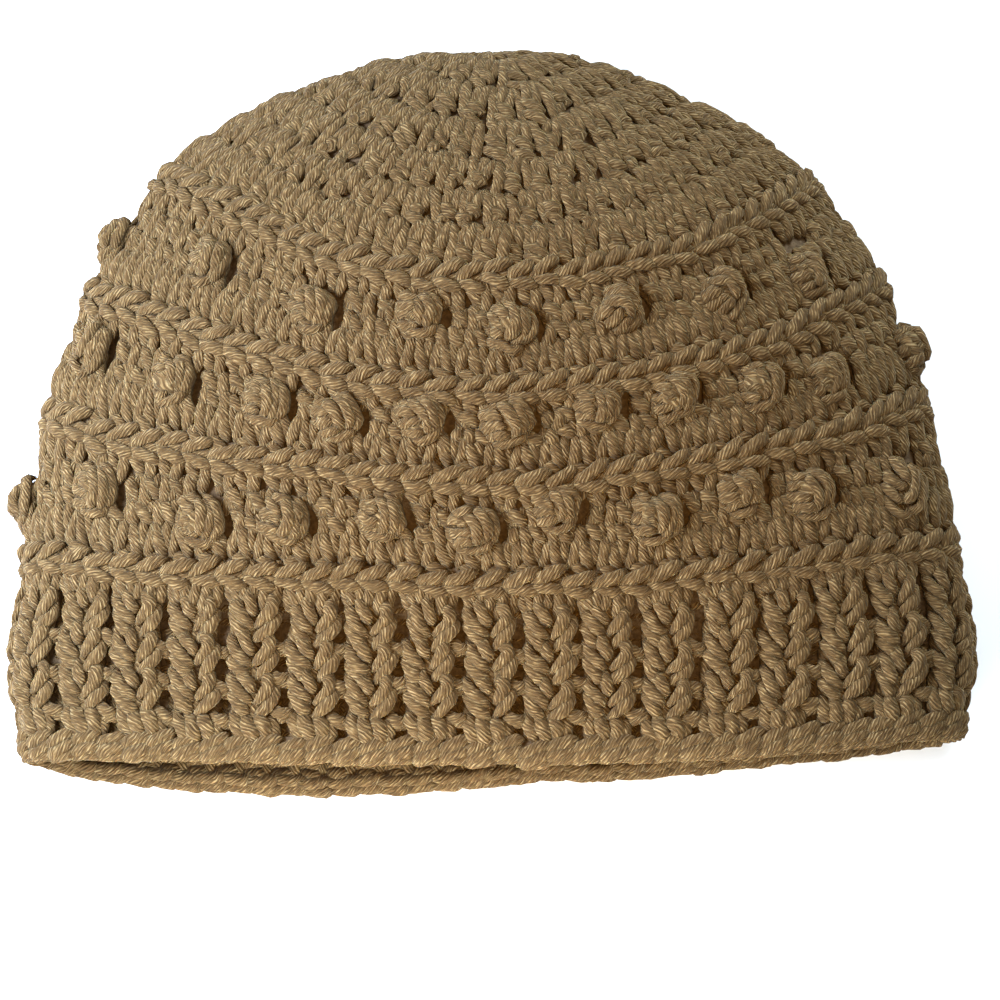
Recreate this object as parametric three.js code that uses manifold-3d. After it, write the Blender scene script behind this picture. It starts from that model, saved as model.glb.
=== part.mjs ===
// A crocheted beanie, lying on its back layer with the brim toward -Y and the crown toward +Y.
// Millimetres, +Z up. The hat is worked in the round from the top of the crown to the rim, so
// the model follows the fabric: `down` is the distance walked down the middle of the front,
// `turn` (0 to 1) goes once round the hat, 0 at the right fold and 0.25 at the front middle.
import * as THREE from "three";
import Module from "manifold-3d";

const wall = 4.5; // thickness of one layer of the stitched fabric
const gap = 0.3; // clearance between two neighbouring rounds
const ridgeHeight = 1.8; // a ridge stands this far above the plain rounds
const ribHeight = 2.6; // a rib of the brim stands this far above its valley
const ribs = 35; // ribs round the brim
const crownColumns = 56; // facets round the crown
const bandColumns = 64; // facets round the bands, the ridges and the rim
const bobbleRadius = 5.4;
const bobbleStand = 3.4; // height of a bobble's centre over the plain fabric
const yarnColour = 0x8d7352;

// How the rounds lie. down: distance from the crown's middle. front, left, right, back: Y of
// the round at the front middle, the two folds and the back middle. top, side, under: height at
// the front middle, the folds and the back middle. half: half the width. edge: height of the
// rounded edge over the fold. edgeBend, bedBend: how square the front edge and the bed are.
const columns = "down front top half left right side back under edge edgeBend bedBend".split(" ");
const rounds = [
  [0, 183.0, 21.0, 0.0, 183.0, 183.0, 21.0, 183.0, 21.0, 0.0, 2.0, 2.0],
  [11, 177.6, 30.4, 13.4, 182.6, 182.8, 20.5, 178.6, 10.6, 9.6, 2.0, 2.0],
  [22, 168.0, 36.8, 26.6, 181.3, 181.0, 19.5, 169.2, 4.0, 13.0, 2.2, 2.6],
  [34, 156.9, 41.6, 39.8, 178.0, 177.0, 18.0, 157.8, 0.6, 12.5, 3.0, 4.0],
  [46, 145.6, 45.0, 52.5, 173.8, 172.0, 16.5, 146.4, 0.0, 12.0, 4.0, 6.5],
  [57, 135.2, 47.2, 65.0, 168.0, 166.8, 15.0, 136.0, 0.0, 11.0, 5.0, 10.0],
  [68, 124.8, 48.8, 76.2, 161.4, 160.0, 14.0, 125.4, 0.0, 10.5, 6.5, 13.0],
  [80, 112.6, 49.5, 87.2, 150.9, 150.9, 13.0, 113.6, 0.0, 10.0, 8.0, 15.0],
  [107, 85.4, 47.0, 105.0, 119.7, 123.6, 12.5, 86.4, 0.0, 10.0, 10.0, 18.0],
  [129, 63.7, 42.0, 114.9, 85.7, 92.3, 12.5, 64.4, 0.0, 10.0, 11.0, 19.0],
  [154, 40.1, 34.0, 120.1, 48.5, 55.8, 12.0, 39.0, 0.0, 9.5, 12.0, 20.0],
  [178, 16.0, 27.0, 121.4, 22.0, 29.0, 11.6, 14.0, 0.0, 9.0, 12.0, 20.0],
  [197, -2.6, 24.0, 118.8, 1.1, 9.1, 11.5, -7.0, 0.0, 9.0, 12.0, 20.0],
];
const rimDown = rounds.at(-1)[0];

// Where each piece starts and ends down the hat; the pieces of one kind share a builder.
const crownEnd = 76.4;
const ridges = [
  { name: "ridge_round_1", from: 76.4, to: 83.6 },
  { name: "ridge_round_2", from: 103.8, to: 110.2 },
  { name: "ridge_round_3", from: 125.9, to: 132.1 },
  { name: "ridge_round_4", from: 150.9, to: 157.1 },
];
// Turns of the bobbles that stand up on each band, left to right. Those of the back layer are
// pressed flat into the fabric by the weight of the hat and need no ball.
const bands = [
  { name: "bobble_band_1", from: 83.6, to: 103.8, row: 93,
    turns: [0.499, 0.4175, 0.3475, 0.2875, 0.2375, 0.1775, 0.115, 0.0575] },
  { name: "bobble_band_2", from: 110.2, to: 125.9, row: 117,
    turns: [0.47, 0.415, 0.3625, 0.325, 0.2825, 0.24, 0.195, 0.155, 0.108, 0.0675, 0.004] },
  { name: "bobble_band_3", from: 132.1, to: 150.9, row: 140.5,
    turns: [0.499, 0.446, 0.39, 0.3475, 0.3, 0.256, 0.216, 0.1675, 0.125, 0.0885, 0.036] },
];
const brimFrom = 157.1;
const edgeFrom = 192.4;

// The value of one column of the table at a distance down the hat, on a smooth curve that
// never overshoots between two rows.
function lie(column, down) {
  const at = columns.indexOf(column);
  const x = (i) => rounds[i][0];
  const slope = (i) => (rounds[i + 1][at] - rounds[i][at]) / (x(i + 1) - x(i));
  const last = rounds.length - 1;
  const tangent = (i) => {
    if (i === 0) return slope(0);
    if (i === last) return slope(last - 1);
    const before = slope(i - 1);
    const after = slope(i);
    return before * after > 0 ? (2 * before * after) / (before + after) : 0;
  };
  let i = 0;
  while (i < last - 1 && down > x(i + 1)) i++;
  const h = x(i + 1) - x(i);
  const t = (down - x(i)) / h;
  return (
    rounds[i][at] * (1 + 2 * t) * (1 - t) ** 2 +
    h * tangent(i) * t * (1 - t) ** 2 +
    rounds[i + 1][at] * t * t * (3 - 2 * t) +
    h * tangent(i + 1) * t * t * (t - 1)
  );
}

// One round as a closed loop of points with the distance walked along it. It starts at the back
// middle, and the front middle is its half-way point.
const loops = new Map();
function loopAt(down) {
  const key = down.toFixed(3);
  if (loops.has(key)) return loops.get(key);
  const at = {};
  for (const column of columns.slice(1)) at[column] = lie(column, down);
  const steps = 480;
  const points = [];
  const walked = [0];
  for (let i = 0; i <= steps; i++) {
    const angle = -Math.PI / 2 + (i / steps) * 2 * Math.PI;
    const c = Math.cos(angle);
    const out = Math.abs(c);
    const isFront = Math.sin(angle) >= 0;
    const middle = isFront ? at.front : at.back;
    const fold = c > 0 ? at.right : at.left;
    const rounded = (bend) => Math.sqrt(Math.max(0, 1 - out ** bend));
    const bulge = (at.top - at.side - at.edge) * (1 - out * out);
    const height = isFront
      ? at.side + at.edge * rounded(at.edgeBend) + bulge
      : at.side - (at.side - at.under) * Math.min(1, 1.03 * rounded(at.bedBend));
    points.push(new THREE.Vector3(at.half * c, middle + (fold - middle) * c * c, height));
    if (i > 0) walked.push(walked[i - 1] + points[i].distanceTo(points[i - 1]));
  }
  const loop = { points, walked, front: walked[steps / 2], length: walked[steps] };
  loops.set(key, loop);
  return loop;
}

// The point of the outer surface at a turn and a distance down.
function onRound(turn, down) {
  const { points, walked, front, length } = loopAt(down);
  const wanted = (((turn - 0.25) * length + front) % length + length) % length;
  let low = 0;
  let high = walked.length - 1;
  while (high - low > 1) {
    const middle = (low + high) >> 1;
    if (walked[middle] <= wanted) low = middle;
    else high = middle;
  }
  const t = (wanted - walked[low]) / (walked[high] - walked[low] || 1);
  return points[low].clone().lerp(points[high], t);
}

function outward(turn, down) {
  const near = Math.max(down, 1.5);
  const along = onRound(turn + 0.004, near).sub(onRound(turn - 0.004, near));
  const downward = onRound(turn, Math.min(near + 0.8, rimDown)).sub(onRound(turn, near - 0.8));
  return along.cross(downward).normalize();
}

// A point lifted off the outer surface; nothing goes below the floor the hat lies on.
function place(turn, down, lift) {
  const point = onRound(turn, down).addScaledVector(outward(turn, down), lift);
  point.z = Math.max(point.z, 0);
  return point;
}

function geometryOf(points, faces) {
  const geometry = new THREE.BufferGeometry();
  const numbers = points.flatMap((p) => [p.x, p.y, p.z]);
  geometry.setAttribute("position", new THREE.Float32BufferAttribute(numbers, 3));
  geometry.setIndex(faces);
  geometry.computeVertexNormals();
  return geometry;
}

// A closed ring: `section` lists [down, lift] once round the cut face of the fabric, outer side
// first, and `extra` adds a lift that changes round the hat.
function ringOf(section, count, extra = () => 0) {
  const points = [];
  for (const [down, lift] of section)
    for (let j = 0; j < count; j++) {
      const turn = j / count;
      points.push(place(turn, down, lift > -wall / 2 ? lift + extra(turn, down) : lift));
    }
  const faces = [];
  for (let i = 0; i < section.length; i++)
    for (let j = 0; j < count; j++) {
      const next = (i + 1) % section.length;
      const beside = (j + 1) % count;
      const [a, b] = [i * count + j, i * count + beside];
      const [c, d] = [next * count + j, next * count + beside];
      faces.push(a, b, c, b, d, c);
    }
  return geometryOf(points, faces);
}

// The crown: the same grid, closed at the top of the hat by two fans.
function crownGeometry() {
  const end = crownEnd - gap / 2;
  const outerRows = [5, 11, 17, 25, 34, 44, 55, 66, end];
  const innerRows = [end, 62, 46, 33, 22, 13];
  const section = [
    ...outerRows.map((down) => [down, 0]),
    ...innerRows.map((down) => [down, -wall]),
  ];
  const points = [];
  for (const [down, lift] of section)
    for (let j = 0; j < crownColumns; j++) points.push(place(j / crownColumns, down, lift));
  const faces = [];
  for (let i = 0; i + 1 < section.length; i++)
    for (let j = 0; j < crownColumns; j++) {
      const beside = (j + 1) % crownColumns;
      const [a, b] = [i * crownColumns + j, i * crownColumns + beside];
      faces.push(a, b, a + crownColumns, b, b + crownColumns, a + crownColumns);
    }
  const height = lie("top", 0);
  const tip = lie("front", 0);
  const outerTip = points.push(new THREE.Vector3(0, tip, height)) - 1;
  const innerTip = points.push(new THREE.Vector3(0, tip - wall - 1.2, height)) - 1;
  const lastRow = (section.length - 1) * crownColumns;
  for (let j = 0; j < crownColumns; j++) {
    const beside = (j + 1) % crownColumns;
    faces.push(outerTip, beside, j);
    faces.push(innerTip, lastRow + j, lastRow + beside);
  }
  return geometryOf(points, faces);
}

function ridgeGeometry({ from, to }) {
  const [start, end] = [from + gap / 2, to - gap / 2];
  const section = [[start, 0], [start + 0.8, ridgeHeight], [end - 0.9, ridgeHeight],
    [end, 0], [end, -wall], [start, -wall]];
  return ringOf(section, bandColumns);
}

const { Manifold, Mesh: SolidMesh } = await solids();
async function solids() {
  const library = await Module();
  library.setup();
  return library;
}

function solidOf(geometry) {
  const vertProperties = new Float32Array(geometry.getAttribute("position").array);
  const triVerts = new Uint32Array(geometry.getIndex().array);
  return new Manifold(new SolidMesh({ numProp: 3, vertProperties, triVerts }));
}

function geometryOfSolid(solid) {
  const { vertProperties, triVerts, numProp } = solid.getMesh();
  const points = [];
  for (let i = 0; i < vertProperties.length; i += numProp)
    points.push(new THREE.Vector3(...vertProperties.slice(i, i + 3)));
  return geometryOf(points, [...triVerts]);
}

// A bobble: a small closed ball standing on the fabric, flat where it meets the floor.
function bobbleGeometry(turn, down) {
  const [around, up] = [7, 4];
  const centre = place(turn, down, bobbleStand);
  const normal = outward(turn, down);
  const along = onRound(turn + 0.004, down).sub(onRound(turn - 0.004, down)).normalize();
  const across = normal.clone().cross(along);
  const spot = (ring, step) => {
    const polar = (ring / up) * Math.PI;
    const azimuth = ((step + (ring % 2) / 2) / around) * 2 * Math.PI;
    const point = centre.clone();
    point.addScaledVector(along, bobbleRadius * Math.sin(polar) * Math.cos(azimuth));
    point.addScaledVector(across, bobbleRadius * Math.sin(polar) * Math.sin(azimuth));
    point.addScaledVector(normal, bobbleRadius * Math.cos(polar));
    point.z = Math.max(point.z, 0.05);
    return point;
  };
  const points = [spot(0, 0), spot(up, 0)];
  for (let ring = 1; ring < up; ring++)
    for (let step = 0; step < around; step++) points.push(spot(ring, step));
  const id = (ring, step) => 2 + (ring - 1) * around + (step % around);
  const faces = [];
  for (let step = 0; step < around; step++) {
    faces.push(0, id(1, step), id(1, step + 1));
    for (let ring = 1; ring < up - 1; ring++) {
      const shift = ring % 2;
      const [a, b] = [id(ring, step), id(ring, step + 1)];
      const [c, d] = [id(ring + 1, step + shift), id(ring + 1, step + 1 + shift)];
      if (shift) faces.push(a, c, b, b, c, d);
      else faces.push(a, c, d, a, d, b);
    }
    faces.push(1, id(up - 1, step + 1), id(up - 1, step));
  }
  return geometryOf(points, faces);
}

function bandGeometry({ from, to, row, turns }) {
  const [start, end] = [from + gap / 2, to - gap / 2];
  const section = [[start, 0], [(start + end) / 2, 0], [end, 0], [end, -wall], [start, -wall]];
  const wallSolid = solidOf(ringOf(section, bandColumns));
  const balls = turns.map((turn) => solidOf(bobbleGeometry(turn, row)));
  return geometryOfSolid(Manifold.union([wallSolid, ...balls]));
}

// The brim's ribs run down the hat; their lift fades at both ends of the brim.
function brimGeometry() {
  const [start, end] = [brimFrom + gap / 2, edgeFrom - gap / 2];
  const perRib = 4;
  const middle = (start + end) / 2;
  const section = [[start, 0], [start + 4, 0], [middle, 0], [end - 4, 0],
    [end, 0], [end, -wall], [middle, -wall], [start, -wall]];
  const lift = (turn, down) => {
    const wave = 0.5 + 0.5 * Math.cos(2 * Math.PI * ribs * (turn - 0.25));
    const fade = Math.min(1, Math.min(down - start, end - down) / 4);
    return ribHeight * wave * fade;
  };
  return ringOf(section, ribs * perRib, lift);
}

function edgeGeometry() {
  const [start, end] = [edgeFrom + gap, rimDown];
  const section = [[start, 0], [start + 1, 1.4], [end - 1, 1.2], [end, -0.6],
    [end, -wall + 0.8], [end - 1, -wall], [start, -wall]];
  return ringOf(section, bandColumns);
}

const hat = new THREE.Group();
hat.name = "beanie";
function addPiece(name, geometry, roughness, shade = 1) {
  const color = new THREE.Color(yarnColour).multiplyScalar(shade);
  const material = new THREE.MeshStandardMaterial({ color, roughness, metalness: 0 });
  const mesh = new THREE.Mesh(geometry, material);
  mesh.name = name;
  hat.add(mesh);
}

addPiece("crown_rounds", crownGeometry(), 0.92, 0.96);
for (const ridge of ridges) addPiece(ridge.name, ridgeGeometry(ridge), 0.88, 1.04);
for (const band of bands) addPiece(band.name, bandGeometry(band), 0.92);
addPiece("ribbed_brim", brimGeometry(), 0.92, 0.98);
addPiece("edge_round", edgeGeometry(), 0.9);

// The origin is the middle of the hat's footprint, on the floor.
const box = new THREE.Box3().setFromObject(hat, true);
const centre = box.getCenter(new THREE.Vector3());
for (const mesh of hat.children) mesh.position.set(-centre.x, -centre.y, 0);

export default hat;
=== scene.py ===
# %% [markdown]
# A crocheted beanie lies on its back layer. Its CAD model is a set of smooth rings of fabric, and
# this lesson dresses them in yarn. The frame comes first: every piece made here is in metres and
# in the same place as the ring that it stands for.

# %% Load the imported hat
import math
import bpy
import numpy as np
from mathutils import Matrix, Vector


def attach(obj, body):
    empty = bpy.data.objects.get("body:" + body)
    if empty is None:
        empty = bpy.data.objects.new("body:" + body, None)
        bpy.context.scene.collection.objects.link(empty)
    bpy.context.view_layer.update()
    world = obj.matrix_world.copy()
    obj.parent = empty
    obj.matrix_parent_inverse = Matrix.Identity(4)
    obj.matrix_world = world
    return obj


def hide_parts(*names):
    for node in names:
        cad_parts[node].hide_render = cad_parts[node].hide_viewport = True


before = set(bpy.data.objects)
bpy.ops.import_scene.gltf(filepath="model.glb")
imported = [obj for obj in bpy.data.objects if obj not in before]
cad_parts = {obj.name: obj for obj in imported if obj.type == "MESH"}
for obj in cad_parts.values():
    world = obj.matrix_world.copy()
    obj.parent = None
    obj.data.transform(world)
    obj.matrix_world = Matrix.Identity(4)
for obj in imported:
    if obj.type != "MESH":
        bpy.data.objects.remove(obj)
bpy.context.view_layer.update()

# %% [markdown]
# The camera looks almost straight down on the hat, as someone does who photographs it on a
# table. It is placed by its elevation and its distance, and rolled half a degree. Its focal
# length is given in pixels of the picture, so that pixels can be turned into millimetres.

# %% Camera
picture_size = 1000
focal_pixels = 2240
sensor_width = 36
camera_distance = 0.560
elevation = math.radians(78)
roll = math.radians(0.5)
look_at = Vector((0.00432, -0.02500, 0.022))
forward = Vector((0, math.cos(elevation), -math.sin(elevation)))
level_right = Vector((1, 0, 0))
level_up = level_right.cross(forward)
camera_right = level_right * math.cos(roll) + level_up * math.sin(roll)
camera_up = level_up * math.cos(roll) - level_right * math.sin(roll)
turned = Matrix((camera_right, camera_up, -forward)).transposed()
bpy.ops.object.camera_add(
    location=look_at - forward * camera_distance, rotation=turned.to_euler()
)
camera = bpy.context.object
camera.data.sensor_width = sensor_width
camera.data.lens = sensor_width * focal_pixels / picture_size
camera.data.clip_start = 0.01
bpy.context.scene.camera = camera
print("camera at", [round(v, 3) for v in camera.location])

# %% [markdown]
# The light is a bright, soft studio with a white surround. A cool lamp like a window stands
# close on the left, and another one beyond the crown on the right. A low strip in front reaches
# under the rim, a weak lamp keeps the floor at the lower right white, and a warm spot hangs over
# the middle, where the yarn looks more golden.

# %% Light
scene = bpy.context.scene
scene.view_settings.view_transform = "Standard"
world = bpy.data.worlds.new("studio")
scene.world = world
world.use_nodes = True
surround = world.node_tree.nodes["Background"]
surround.inputs["Color"].default_value = (0.95, 1.0, 1.0, 1)
surround.inputs["Strength"].default_value = 0.52


def add_lamp(kind, name, place, aim, watts, colour):
    bpy.ops.object.light_add(type=kind, location=place)
    lamp = bpy.context.object
    lamp.name = name
    lamp.data.energy = watts
    lamp.data.color = colour
    lamp.rotation_euler = (Vector(aim) - Vector(place)).to_track_quat("-Z", "Y").to_euler()
    return lamp.data


def add_soft_lamp(name, place, aim, size, watts, colour):
    lamp = add_lamp("AREA", name, place, aim, watts, colour)
    lamp.shape = "DISK"
    lamp.size = size
    return lamp


window_blue = (0.66, 0.78, 1.0)
crown_blue = (0.66, 0.82, 1.0)
rim_blue = (0.90, 0.96, 1.0)
corner_blue = (0.80, 0.90, 1.0)
add_soft_lamp("window", (-0.29, -0.02, 0.23), (-0.08, -0.01, 0.02), 0.20, 5.4, window_blue)
add_soft_lamp("crown_fill", (0.20, 0.38, 0.24), (0.05, 0.06, 0.03), 0.20, 3.4, crown_blue)
rim_strip = add_soft_lamp(
    "rim_strip", (-0.03, -0.19, 0.05), (-0.02, -0.10, 0.002), 0.20, 0.56, rim_blue)
rim_strip.shape = "RECTANGLE"
rim_strip.size_y = 0.02
add_soft_lamp("corner_fill", (0.25, -0.30, 0.12), (0.13, -0.16, 0), 0.16, 0.26, corner_blue)
warm_spot = add_lamp(
    "SPOT", "warm_spot", (0.02, -0.16, 0.62), (0.01, -0.03, 0.03), 7.4, (1.0, 0.52, 0.05))
warm_spot.spot_size = math.radians(26)
warm_spot.spot_blend = 1.0
warm_spot.shadow_soft_size = 0.05

# %% [markdown]
# The hat lies on a plain pale floor, which is only there for the picture: it is the stage.

# %% Floor
def new_material(name):
    """A material, its node tree and the shader in it."""
    material = bpy.data.materials.new(name)
    material.use_nodes = True
    return material, material.node_tree, material.node_tree.nodes["Principled BSDF"]


def set_sockets(shader, settings):
    for socket, value in settings.items():
        shader.inputs[socket].default_value = value


bpy.ops.mesh.primitive_plane_add(size=4)
floor = bpy.context.object
floor.name = "floor"
floor_paint, _, floor_shader = new_material("pale_floor")
set_sockets(floor_shader, {"Base Color": (0.96, 0.96, 0.96, 1), "Roughness": 0.9})
floor.data.materials.append(floor_paint)
print("made the", floor.name)

# %% [markdown]
# Every stitch has to know where the fabric is. The hat is worked in the round from the middle of
# its crown to the rim, so a spot on it has two numbers: `down`, the millimetres walked from the
# crown's middle along the front, and `turn`, from 0 to 1 once round the hat, with 0 at the right
# fold and 0.25 at the middle of the front. The table says how each round lies, in millimetres
# and as in the CAD source: where its front, its back and its two folds are along the hat, how
# high its top, its sides and its underside are, and how wide and how rounded it is.

# %% The table of rounds
wall = 4.5
columns = "down front top half left right side back under edge edge_bend bed_bend".split()
rounds = np.array([
    [0, 183.0, 21.0, 0.0, 183.0, 183.0, 21.0, 183.0, 21.0, 0.0, 2.0, 2.0],
    [11, 177.6, 30.4, 13.4, 182.6, 182.8, 20.5, 178.6, 10.6, 9.6, 2.0, 2.0],
    [22, 168.0, 36.8, 26.6, 181.3, 181.0, 19.5, 169.2, 4.0, 13.0, 2.2, 2.6],
    [34, 156.9, 41.6, 39.8, 178.0, 177.0, 18.0, 157.8, 0.6, 12.5, 3.0, 4.0],
    [46, 145.6, 45.0, 52.5, 173.8, 172.0, 16.5, 146.4, 0.0, 12.0, 4.0, 6.5],
    [57, 135.2, 47.2, 65.0, 168.0, 166.8, 15.0, 136.0, 0.0, 11.0, 5.0, 10.0],
    [68, 124.8, 48.8, 76.2, 161.4, 160.0, 14.0, 125.4, 0.0, 10.5, 6.5, 13.0],
    [80, 112.6, 49.5, 87.2, 150.9, 150.9, 13.0, 113.6, 0.0, 10.0, 8.0, 15.0],
    [107, 85.4, 47.0, 105.0, 119.7, 123.6, 12.5, 86.4, 0.0, 10.0, 10.0, 18.0],
    [129, 63.7, 42.0, 114.9, 85.7, 92.3, 12.5, 64.4, 0.0, 10.0, 11.0, 19.0],
    [154, 40.1, 34.0, 120.1, 48.5, 55.8, 12.0, 39.0, 0.0, 9.5, 12.0, 20.0],
    [178, 16.0, 27.0, 121.4, 22.0, 29.0, 11.6, 14.0, 0.0, 9.0, 12.0, 20.0],
    [197, -2.6, 24.0, 118.8, 1.1, 9.1, 11.5, -7.0, 0.0, 9.0, 12.0, 20.0],
])
rim_down = 197
to_frame = np.array([1.819, -88.001, 0.0])
print("rounds in the table:", len(rounds))

# %% [markdown]
# One round is a closed loop of two arches, a high one for the front layer and a low one for the
# back layer, which the floor flattens. The values between the rows of the table come from a
# curve that never overshoots them, and the points are spaced evenly along the yarn.

# %% Lay one round
fine_steps = 1440
front_turn = 0.25
bed_widening = 1.03


def lie(column, down):
    """The value of one column of the table at a distance down, without overshoot."""
    x = rounds[:, 0]
    y = rounds[:, columns.index(column)]
    slope = np.diff(y) / np.diff(x)
    tangent = np.empty(len(x))
    tangent[0] = slope[0]
    tangent[-1] = slope[-1]
    before = slope[:-1]
    after = slope[1:]
    same_way = before * after > 0
    total = np.where(same_way, before + after, 1)
    tangent[1:-1] = np.where(same_way, 2 * before * after / total, 0)
    i = int(np.clip(np.searchsorted(x, down) - 1, 0, len(x) - 2))
    h = x[i + 1] - x[i]
    t = (down - x[i]) / h
    return (y[i] * (1 + 2 * t) * (1 - t) ** 2 + h * tangent[i] * t * (1 - t) ** 2
            + y[i + 1] * t * t * (3 - 2 * t) + h * tangent[i + 1] * t * t * (t - 1))


def loop_at(down, count):
    """One round as points at equal steps of yarn round the hat, and its length."""
    at = {column: lie(column, down) for column in columns[1:]}
    angle = np.linspace(-np.pi / 2, 1.5 * np.pi, fine_steps + 1)
    c = np.cos(angle)
    is_front = np.sin(angle) >= 0
    middle = np.where(is_front, at["front"], at["back"])
    fold = np.where(c > 0, at["right"], at["left"])
    edge_round = np.sqrt(np.clip(1 - np.abs(c) ** at["edge_bend"], 0, 1))
    bed_round = bed_widening * np.sqrt(np.clip(1 - np.abs(c) ** at["bed_bend"], 0, 1))
    bulge = (at["top"] - at["side"] - at["edge"]) * (1 - c * c)
    front_height = at["side"] + at["edge"] * edge_round + bulge
    back_height = at["side"] - (at["side"] - at["under"]) * np.minimum(1, bed_round)
    height = np.where(is_front, front_height, back_height)
    points = np.stack([at["half"] * c, middle + (fold - middle) * c * c, height], 1)
    steps = np.linalg.norm(np.diff(points, axis=0), axis=1)
    walked = np.concatenate([[0], np.cumsum(steps)])
    total = max(float(walked[-1]), 1e-6)
    front = walked[fine_steps // 2]
    wanted = ((np.arange(count) / count - front_turn) * total + front) % total
    evenly = np.stack([np.interp(wanted, walked, points[:, k]) for k in range(3)], 1)
    return evenly, walked[-1]


# %% [markdown]
# All rounds together, one for each millimetre and a few past the rim, make a grid of points. The
# sides of this hat are drawn in or let out a little near the brim.

# %% The grid of the fabric
turn_steps = 720
rows_past_rim = 8
loops = [loop_at(down, turn_steps) for down in range(rim_down + 1)]
length_round = np.array([loop[1] for loop in loops])
grid = np.array([loop[0] for loop in loops]) + to_frame
for _ in range(rows_past_rim):
    grid = np.concatenate([grid, grid[-1:] + (grid[-1:] - grid[-2:-1])])
row_number = np.arange(len(grid))

pull_starts = 0.4
right_downs = [0, 60, 80, 107, 118, 129, 140, 154, 165, 175, 190, 205]
right_pulls = [0, -1.6, -2.4, -2.6, -2.8, -2.6, -1.6, -1.2, 0.2, 1.2, 1.6, 1.2]
left_downs = [140, 150, 160, 175, 190, 205]
left_pulls = [0, 1.2, 2.2, 0.6, 1.6, 0.6]


def pull_side(across, fold, downs, pulls):
    """Millimetres sideways for each spot: none in the middle, and the whole pull at a fold."""
    near = (np.clip(across / fold, pull_starts, 1) - pull_starts) / (1 - pull_starts)
    return np.interp(row_number, downs, pulls)[:, None] * near ** 2


across = grid[..., 0].copy()
right_fold = np.maximum(across.max(axis=1, keepdims=True), 1)
left_fold = np.minimum(across.min(axis=1, keepdims=True), -1)
grid[..., 0] += pull_side(across, right_fold, right_downs, right_pulls)
grid[..., 0] += pull_side(across, left_fold, left_downs, left_pulls)
print("rounds measured:", len(loops), "longest", round(float(length_round.max())), "mm")

# %% [markdown]
# The rim isn't level: the last rounds hang a little lower or higher from place to place. Then
# the direction straight out of the fabric is found at every spot from its neighbours.

# %% The sway of the rim and the outward directions
sway_turns = [0, 0.04, 0.15, 0.25, 0.35, 0.45, 0.50, 0.54, 0.60, 0.66, 0.71, 0.77, 0.86, 0.91,
              0.97, 1]
sway_of_rim = [2.4, 0.6, -0.6, -1.0, -0.6, 0.8, 1.4, 2.3, 2.6, 1.6, -0.4, -2.8, -2.5, -1.5,
               0.9, 2.4]
sway_starts = 160
last_row = len(grid) - 1.001
sway = np.interp(np.arange(turn_steps) / turn_steps, sway_turns, sway_of_rim)
sway_share = np.clip((row_number - sway_starts) / (rim_down - sway_starts), 0, 1)
wanted_row = np.clip(row_number[:, None] + sway * sway_share[:, None], 0, last_row)
whole_row = wanted_row.astype(int)
rest_of_row = (wanted_row - whole_row)[..., None]
column_number = np.arange(turn_steps)[None]
grid = (grid[whole_row, column_number] * (1 - rest_of_row)
        + grid[whole_row + 1, column_number] * rest_of_row)

neighbour = 4
tiny = 1e-9


def unit(vectors):
    """The same directions with a length of 1."""
    return vectors / np.maximum(np.linalg.norm(vectors, axis=-1, keepdims=True), tiny)


along = np.roll(grid, -neighbour, axis=1) - np.roll(grid, neighbour, axis=1)
row_above = np.clip(row_number - 1, 1, None)
row_below = np.clip(row_number + 1, 3, len(grid) - 1)
outward = unit(np.cross(along[np.clip(row_number, 2, None)], grid[row_below] - grid[row_above]))
outward[0] = (0, 1, 0)
outward[1] = unit(outward[2] * 0.6 + outward[0] * 0.4)
print("rim from", round(float(grid[rim_down, :, 1].min())), "to",
      round(float(grid[rim_down, :, 1].max())), "mm")

# %% [markdown]
# Helpers find a spot on the fabric, raise it, and keep it above the floor. The yarn is sunk a
# little, so that its tops reach the smooth CAD surface, and most on the brim, whose ribs stand
# up. What stands out under the hat is pressed flat by its weight.

# %% Spots on the fabric
sink_downs = [0, 150, 162, 190, 197]
sink_depths = [1.2, 1.2, 1.9, 1.9, 1.0]
pressed_below = 1.0
free_over = 7.0


def on_fabric(turn, down):
    """Points of the outer surface and the directions straight out of it, for arrays of spots."""
    column = (turn % 1.0) * turn_steps
    left = np.floor(column).astype(int)
    across = (column - left)[..., None]
    left = left % turn_steps
    right = (left + 1) % turn_steps
    row = np.clip(down, 0, last_row)
    upper = np.floor(row).astype(int)
    below = (row - upper)[..., None]
    found = []
    for table in (grid, outward):
        top = table[upper, left] * (1 - across) + table[upper, right] * across
        bottom = table[upper + 1, left] * (1 - across) + table[upper + 1, right] * across
        found.append(top * (1 - below) + bottom * below)
    return found[0], unit(found[1])


def free_share(height):
    """How far a spot is clear of the bed: 0 where the hat lies on the floor, 1 higher up."""
    return np.clip((height - pressed_below) / free_over, 0, 1)


def lifted(turn, down, lift):
    """Spots raised off the fabric by `lift`, with the directions out of it."""
    base, normal = on_fabric(turn, down)
    sink = np.interp(down, sink_downs, sink_depths)
    lift = lift - sink * np.clip(1 + lift / wall, 0, 1)
    pressed = np.where(lift > 0, lift * (0.3 + 0.7 * free_share(base[..., 2])), lift)
    return base + normal * pressed[..., None], normal


def rest_on_floor(points):
    """Heights eased so that nothing is below the floor."""
    softness = 0.45
    points[..., 2] = softness * np.logaddexp(0, points[..., 2] / softness)
    return points


# %% [markdown]
# The yarn is modelled once, as one short strand: a ring of six points is extruded along its
# length, and its two ends are drawn in like the ends of a sausage, because an end is always
# tucked in behind another strand. Every stitch of the hat is made of bent copies of it, so it
# has only a few dozen faces.

# %% One strand of yarn
strand_sides = 6
ring_sizes = [0.35, 0.86, 1.0, 1.0, 1.0, 1.0, 0.86, 0.35]
strand_rings = len(ring_sizes)


def deselect_all():
    for thing in bpy.context.selected_objects:
        thing.select_set(False)


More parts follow.
